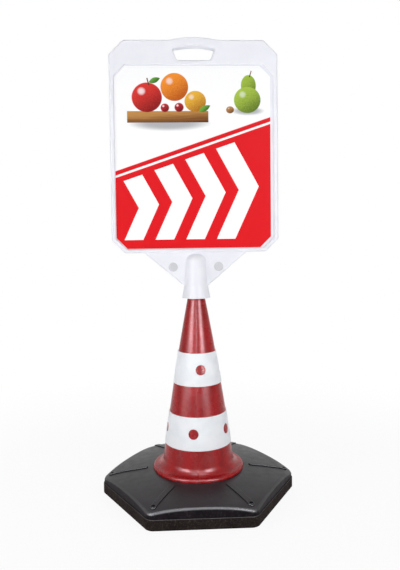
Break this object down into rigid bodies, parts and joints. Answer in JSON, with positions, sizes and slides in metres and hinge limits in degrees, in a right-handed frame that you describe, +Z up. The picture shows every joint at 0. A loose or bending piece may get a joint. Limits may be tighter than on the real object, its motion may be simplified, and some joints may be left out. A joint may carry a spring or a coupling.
{
  "type": "cone sign",
  "caption": "Sign board with a hand hole on a banded road cone that stands on a weighted hexagonal base; the board turns and lifts off.",
  "frame": {"origin": "on the ground under the axis of the cone, at the middle of the base's underside", "axes": "+Z up along the axis of the cone; -Y out of the front of the sign; +X to the right of someone facing the front, towards a corner of the base"},
  "size_m": [0.4832, 0.4244, 1.1362],
  "materials": {
    "tray_plastic": "rough moulded, brownish black",
    "concrete": "cast, rough",
    "cover_plastic": "satin black",
    "screw_steel": "zinc plated",
    "cone_plastic": "glossy red",
    "sleeve_plastic": "smooth white",
    "plug_plastic": "moulded black",
    "bush_plastic": "natural nylon",
    "sign_plastic": "moulded white, soft gloss",
    "poster_print": "printed film, red and white",
    "cap_plastic": "light grey"
  },
  "bodies": {
    "stand": {"base_tray": "tray_plastic", "ballast_block": "concrete", "base_cover": "cover_plastic", "cover_screws": "screw_steel", "cone_body": "cone_plastic", "cone_screws": "screw_steel", "lower_sleeve": "sleeve_plastic", "upper_sleeve": "sleeve_plastic", "neck_plug": "plug_plastic"},
    "bush": {"socket_bush": "bush_plastic"},
    "sign_head": {"sign_front_shell": "sign_plastic", "sign_rear_shell": "sign_plastic", "front_poster": "poster_print", "rear_poster": "poster_print", "clamp_bolts": "cap_plastic", "clamp_nuts": "cap_plastic", "shell_screws": "screw_steel"}
  },
  "joints": [
    {"name": "sign_lift", "type": "slide", "parent": "stand", "child": "bush", "axis": [0, 0, 1], "range_m": [0, 0.07]},
    {"name": "sign_swivel", "type": "hinge", "parent": "bush", "child": "sign_head", "pos_m": [0, 0, 0.53], "axis": [0, 0, 1], "continuous": true}
  ]
}
